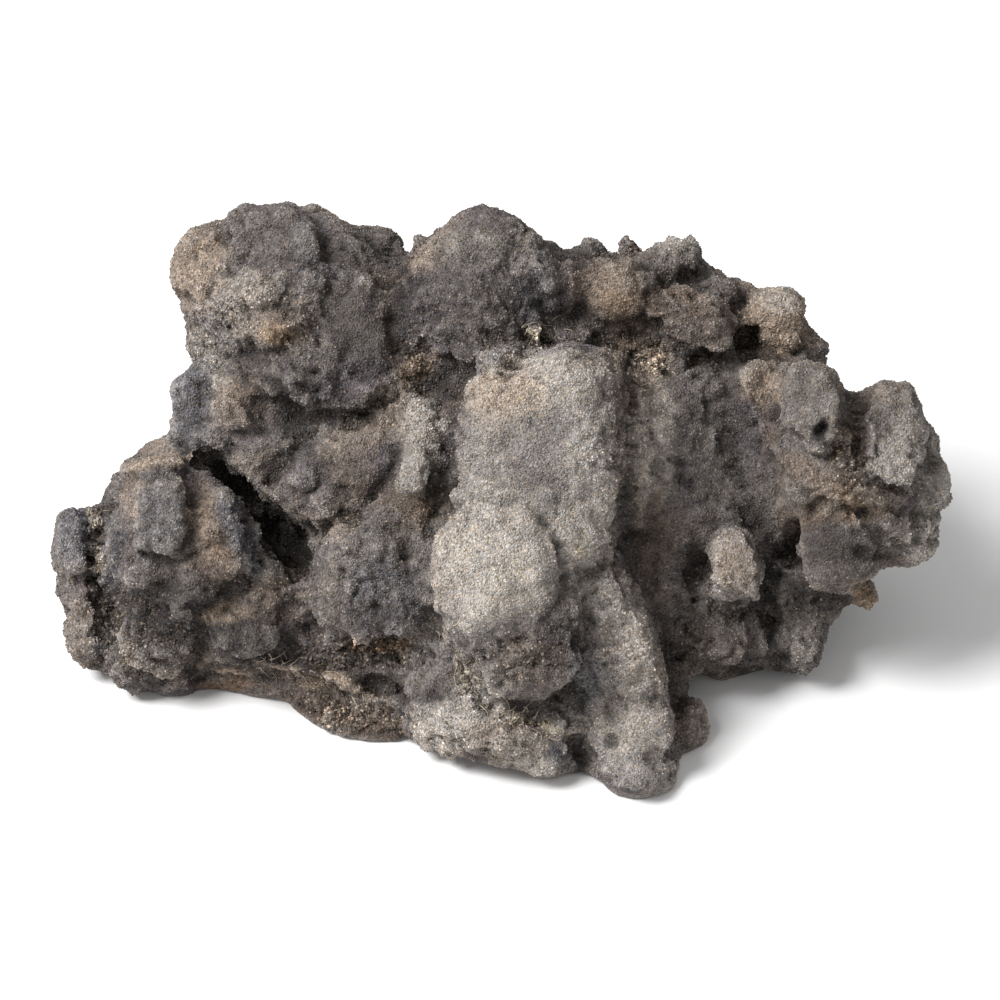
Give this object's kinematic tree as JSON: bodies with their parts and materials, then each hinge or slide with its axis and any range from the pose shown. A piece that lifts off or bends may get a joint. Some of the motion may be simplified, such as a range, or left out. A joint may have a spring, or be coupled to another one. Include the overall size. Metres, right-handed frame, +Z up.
{
  "type": "ironstone",
  "caption": "Knobbly free-standing lump of ironstone, rounded nodules grown together with crevices, pockets and ledges between them, resting on flat worn feet.",
  "frame": {"origin": "middle of the box round the stone, on the ground that it rests on", "axes": "+X along the stone's length to the right seen from its show face, +Y away from the show face, +Z up"},
  "size_m": [0.3, 0.175, 0.1409],
  "materials": {
    "ironstone": "matte, rough and sandy natural stone"
  },
  "bodies": {
    "root": {"ironstone": "ironstone"}
  },
  "joints": []
}
